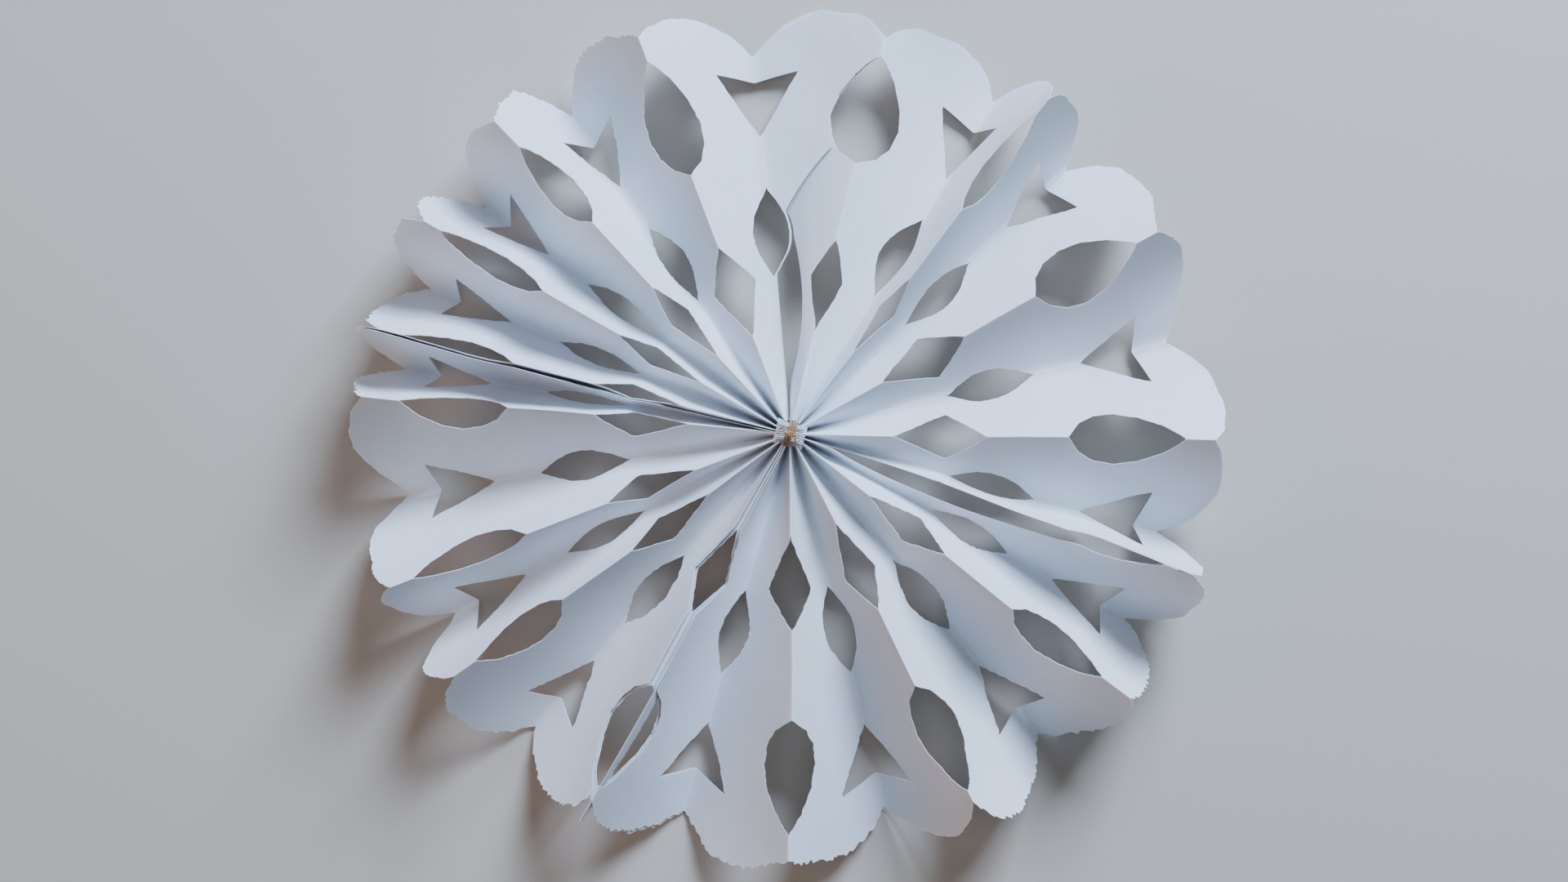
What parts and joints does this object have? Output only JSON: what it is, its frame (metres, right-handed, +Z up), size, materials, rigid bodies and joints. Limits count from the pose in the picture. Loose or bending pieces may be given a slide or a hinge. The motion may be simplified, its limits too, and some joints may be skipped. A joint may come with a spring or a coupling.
{
  "type": "paper snowflake star",
  "caption": "Pleated paper star: folded, cut and opened into a full circle round a tied waist; its pleats fold shut like a fan.",
  "frame": {"origin": "on the table, under the middle of the whole star", "axes": "+Z up from the table, square to the star; +X and +Y lie in the table, with the open seam a little below +X"},
  "size_m": [0.2086, 0.2078, 0.0312],
  "materials": {
    "paper": "uncoated white copier paper, matt, with folded and hand-cut edges",
    "thread": "twisted natural cotton twine, matt",
    "glue": "dried paper glue, thin, slightly yellow and satin"
  },
  "bodies": {
    "waist": {"sheet_a_waist": "paper", "sheet_b_waist": "paper", "thread_tie": "thread", "thread_knot": "thread", "thread_tail_1": "thread", "thread_tail_2": "thread"},
    "panel_01": {"fan_east_panel_1": "paper"},
    "panel_02": {"fan_east_panel_2": "paper"},
    "panel_03": {"fan_east_panel_3": "paper"},
    "panel_04": {"fan_east_panel_4": "paper"},
    "panel_05": {"fan_east_panel_5": "paper"},
    "panel_06": {"fan_east_panel_6": "paper"},
    "panel_07": {"fan_east_panel_7": "paper"},
    "panel_08": {"fan_east_panel_8": "paper"},
    "panel_09": {"fan_east_panel_9": "paper", "fan_north_panel_1": "paper", "fan_north_glue_1": "glue"},
    "panel_10": {"fan_north_panel_2": "paper"},
    "panel_11": {"fan_north_panel_3": "paper"},
    "panel_12": {"fan_north_panel_4": "paper"},
    "panel_13": {"fan_north_panel_5": "paper"},
    "panel_14": {"fan_north_panel_6": "paper"},
    "panel_15": {"fan_north_panel_7": "paper"},
    "panel_16": {"fan_north_panel_8": "paper"},
    "panel_17": {"fan_north_panel_9": "paper", "fan_west_panel_1": "paper", "fan_west_glue_1": "glue"},
    "panel_18": {"fan_west_panel_2": "paper"},
    "panel_19": {"fan_west_panel_3": "paper"},
    "panel_20": {"fan_west_panel_4": "paper"},
    "panel_21": {"fan_west_panel_5": "paper"},
    "panel_22": {"fan_west_panel_6": "paper"},
    "panel_23": {"fan_west_panel_7": "paper"},
    "panel_24": {"fan_west_panel_8": "paper", "fan_south_panel_1": "paper", "fan_south_glue_1": "glue"},
    "panel_25": {"fan_west_panel_9": "paper", "fan_south_panel_2": "paper", "fan_south_glue_2": "glue"},
    "panel_26": {"fan_south_panel_3": "paper"},
    "panel_27": {"fan_south_panel_4": "paper"},
    "panel_28": {"fan_south_panel_5": "paper"},
    "panel_29": {"fan_south_panel_6": "paper"},
    "panel_30": {"fan_south_panel_7": "paper"},
    "panel_31": {"fan_south_panel_8": "paper"},
    "panel_32": {"fan_south_panel_9": "paper", "seam_glue_dab": "glue"}
  },
  "joints": [
    {"name": "middle_panel_roll", "type": "hinge", "parent": "waist", "child": "panel_16", "pos_m": [0.00045, -0.00021, 0.01642], "axis": [-0.9502, 0.3114, -0.0112], "range_deg": [0, 8.41]},
    {"name": "fold_15", "type": "hinge", "parent": "panel_16", "child": "panel_15", "pos_m": [0.00045, -0.00021, 0.01642], "axis": [-0.9134, 0.369, -0.1719], "range_deg": [-18.83, 0]},
    {"name": "fold_14", "type": "hinge", "parent": "panel_15", "child": "panel_14", "pos_m": [0.00045, -0.00021, 0.01642], "axis": [-0.8572, 0.4949, 0.1422], "range_deg": [0, 16.07]},
    {"name": "fold_13", "type": "hinge", "parent": "panel_14", "child": "panel_13", "pos_m": [0.00045, -0.00021, 0.01642], "axis": [-0.7909, 0.5874, -0.1719], "range_deg": [-23.1, 0]},
    {"name": "fold_12", "type": "hinge", "parent": "panel_13", "child": "panel_12", "pos_m": [0.00045, -0.00021, 0.01642], "axis": [-0.6804, 0.7221, 0.125], "range_deg": [0, 29.67]},
    {"name": "fold_11", "type": "hinge", "parent": "panel_12", "child": "panel_11", "pos_m": [0.00045, -0.00021, 0.01642], "axis": [-0.5594, 0.8109, -0.1719], "range_deg": [-46.05, 0]},
    {"name": "fold_10", "type": "hinge", "parent": "panel_11", "child": "panel_10", "pos_m": [0.00045, -0.00021, 0.01642], "axis": [-0.3578, 0.9322, 0.0545], "range_deg": [0, 67.7]},
    {"name": "fold_09", "type": "hinge", "parent": "panel_10", "child": "panel_09", "pos_m": [0.00045, -0.00021, 0.01642], "axis": [-0.0944, 0.9806, -0.1719], "range_deg": [-95.42, 0]},
    {"name": "fan_fold", "type": "hinge", "parent": "panel_09", "child": "panel_08", "pos_m": [0.00045, -0.00021, 0.01642], "axis": [0.233, 0.9705, -0.0624], "range_deg": [0, 112.15]},
    {"name": "fold_07", "type": "hinge", "parent": "panel_08", "child": "panel_07", "pos_m": [0.00045, -0.00021, 0.01642], "axis": [0.5147, 0.84, -0.1719], "range_deg": [-62.91, 0]},
    {"name": "fold_06", "type": "hinge", "parent": "panel_07", "child": "panel_06", "pos_m": [0.00045, -0.00021, 0.01642], "axis": [0.6054, 0.7833, 0.1411], "range_deg": [0, 16.9]},
    {"name": "fold_05", "type": "hinge", "parent": "panel_06", "child": "panel_05", "pos_m": [0.00045, -0.00021, 0.01642], "axis": [0.7134, 0.6794, -0.1719], "range_deg": [-47.91, 0]},
    {"name": "fold_04", "type": "hinge", "parent": "panel_05", "child": "panel_04", "pos_m": [0.00045, -0.00021, 0.01642], "axis": [0.8737, 0.4843, 0.0465], "range_deg": [0, 71.29]},
    {"name": "fold_03", "type": "hinge", "parent": "panel_04", "child": "panel_03", "pos_m": [0.00045, -0.00021, 0.01642], "axis": [0.9571, 0.2333, -0.1719], "range_deg": [-71.65, 0]},
    {"name": "fold_02", "type": "hinge", "parent": "panel_03", "child": "panel_02", "pos_m": [0.00045, -0.00021, 0.01642], "axis": [0.998, -0.0174, 0.0601], "range_deg": [0, 65.28]},
    {"name": "fold_01", "type": "hinge", "parent": "panel_02", "child": "panel_01", "pos_m": [0.00045, -0.00021, 0.01642], "axis": [0.9524, -0.2516, -0.1719], "range_deg": [-32.63, 0]},
    {"name": "fold_16", "type": "hinge", "parent": "panel_16", "child": "panel_17", "pos_m": [0.00045, -0.00021, 0.01642], "axis": [-0.9581, 0.2442, 0.1498], "range_deg": [-8.38, 0]},
    {"name": "fold_17", "type": "hinge", "parent": "panel_17", "child": "panel_18", "pos_m": [0.00045, -0.00021, 0.01642], "axis": [-0.9707, 0.1677, -0.1719], "range_deg": [0, 0.961]},
    {"name": "fold_18", "type": "hinge", "parent": "panel_18", "child": "panel_19", "pos_m": [0.00045, -0.00021, 0.01642], "axis": [-0.9881, 0.0899, 0.125], "range_deg": [-26.91, 0]},
    {"name": "fold_19", "type": "hinge", "parent": "panel_19", "child": "panel_20", "pos_m": [0.00045, -0.00021, 0.01642], "axis": [-0.973, -0.1541, -0.1719], "range_deg": [0, 47.7]},
    {"name": "fold_20", "type": "hinge", "parent": "panel_20", "child": "panel_21", "pos_m": [0.00045, -0.00021, 0.01642], "axis": [-0.9264, -0.3556, 0.124], "range_deg": [-29.61, 0]},
    {"name": "fold_21", "type": "hinge", "parent": "panel_21", "child": "panel_22", "pos_m": [0.00045, -0.00021, 0.01642], "axis": [-0.8698, -0.4625, -0.1719], "range_deg": [0, 20.74]},
    {"name": "fold_22", "type": "hinge", "parent": "panel_22", "child": "panel_23", "pos_m": [0.00045, -0.00021, 0.01642], "axis": [-0.8038, -0.584, 0.1137], "range_deg": [-36.34, 0]},
    {"name": "fold_23", "type": "hinge", "parent": "panel_23", "child": "panel_24", "pos_m": [0.00045, -0.00021, 0.01642], "axis": [-0.6463, -0.7435, -0.1719], "range_deg": [0, 50.36]},
    {"name": "fold_24", "type": "hinge", "parent": "panel_24", "child": "panel_25", "pos_m": [0.00045, -0.00021, 0.01642], "axis": [-0.4799, -0.8729, 0.0885], "range_deg": [-51.51, 0]},
    {"name": "fold_25", "type": "hinge", "parent": "panel_25", "child": "panel_26", "pos_m": [0.00045, -0.00021, 0.01642], "axis": [-0.2715, -0.947, -0.1719], "range_deg": [0, 65.54]},
    {"name": "fold_26", "type": "hinge", "parent": "panel_26", "child": "panel_27", "pos_m": [0.00045, -0.00021, 0.01642], "axis": [0, -0.9989, 0.0465], "range_deg": [-71.14, 0]},
    {"name": "fold_27", "type": "hinge", "parent": "panel_27", "child": "panel_28", "pos_m": [0.00045, -0.00021, 0.01642], "axis": [0.2367, -0.9563, -0.1719], "range_deg": [0, 61.73]},
    {"name": "fold_28", "type": "hinge", "parent": "panel_28", "child": "panel_29", "pos_m": [0.00045, -0.00021, 0.01642], "axis": [0.4462, -0.891, 0.0841], "range_deg": [-53.79, 0]},
    {"name": "fold_29", "type": "hinge", "parent": "panel_29", "child": "panel_30", "pos_m": [0.00045, -0.00021, 0.01642], "axis": [0.6266, -0.7601, -0.1719], "range_deg": [0, 51.86]},
    {"name": "fold_30", "type": "hinge", "parent": "panel_30", "child": "panel_31", "pos_m": [0.00045, -0.00021, 0.01642], "axis": [0.7833, -0.612, 0.1086], "range_deg": [-39.97, 0]},
    {"name": "fold_31", "type": "hinge", "parent": "panel_31", "child": "panel_32", "pos_m": [0.00045, -0.00021, 0.01642], "axis": [0.8649, -0.4716, -0.1719], "range_deg": [0, 30.01]}
  ],
  "couplings": [
    {"joint": "middle_panel_roll", "follows": "fan_fold", "ratio": 0.074826},
    {"joint": "fold_15", "follows": "fan_fold", "ratio": -0.16771},
    {"joint": "fold_14", "follows": "fan_fold", "ratio": 0.14308},
    {"joint": "fold_13", "follows": "fan_fold", "ratio": -0.20581},
    {"joint": "fold_12", "follows": "fan_fold", "ratio": 0.26435},
    {"joint": "fold_11", "follows": "fan_fold", "ratio": -0.41041},
    {"joint": "fold_10", "follows": "fan_fold", "ratio": 0.60349},
    {"joint": "fold_09", "follows": "fan_fold", "ratio": -0.85063},
    {"joint": "fold_07", "follows": "fan_fold", "ratio": -0.56076},
    {"joint": "fold_06", "follows": "fan_fold", "ratio": 0.15054},
    {"joint": "fold_05", "follows": "fan_fold", "ratio": -0.42703},
    {"joint": "fold_04", "follows": "fan_fold", "ratio": 0.63543},
    {"joint": "fold_03", "follows": "fan_fold", "ratio": -0.63869},
    {"joint": "fold_02", "follows": "fan_fold", "ratio": 0.58188},
    {"joint": "fold_01", "follows": "fan_fold", "ratio": -0.2908},
    {"joint": "fold_16", "follows": "fan_fold", "ratio": -0.074567},
    {"joint": "fold_17", "follows": "fan_fold", "ratio": 0.00839},
    {"joint": "fold_18", "follows": "fan_fold", "ratio": -0.23978},
    {"joint": "fold_19", "follows": "fan_fold", "ratio": 0.42511},
    {"joint": "fold_20", "follows": "fan_fold", "ratio": -0.26382},
    {"joint": "fold_21", "follows": "fan_fold", "ratio": 0.18476},
    {"joint": "fold_22", "follows": "fan_fold", "ratio": -0.32381},
    {"joint": "fold_23", "follows": "fan_fold", "ratio": 0.44886},
    {"joint": "fold_24", "follows": "fan_fold", "ratio": -0.4591},
    {"joint": "fold_25", "follows": "fan_fold", "ratio": 0.58419},
    {"joint": "fold_26", "follows": "fan_fold", "ratio": -0.63414},
    {"joint": "fold_27", "follows": "fan_fold", "ratio": 0.55019},
    {"joint": "fold_28", "follows": "fan_fold", "ratio": -0.4794},
    {"joint": "fold_29", "follows": "fan_fold", "ratio": 0.46223},
    {"joint": "fold_30", "follows": "fan_fold", "ratio": -0.35624},
    {"joint": "fold_31", "follows": "fan_fold", "ratio": 0.26737}
  ]
}
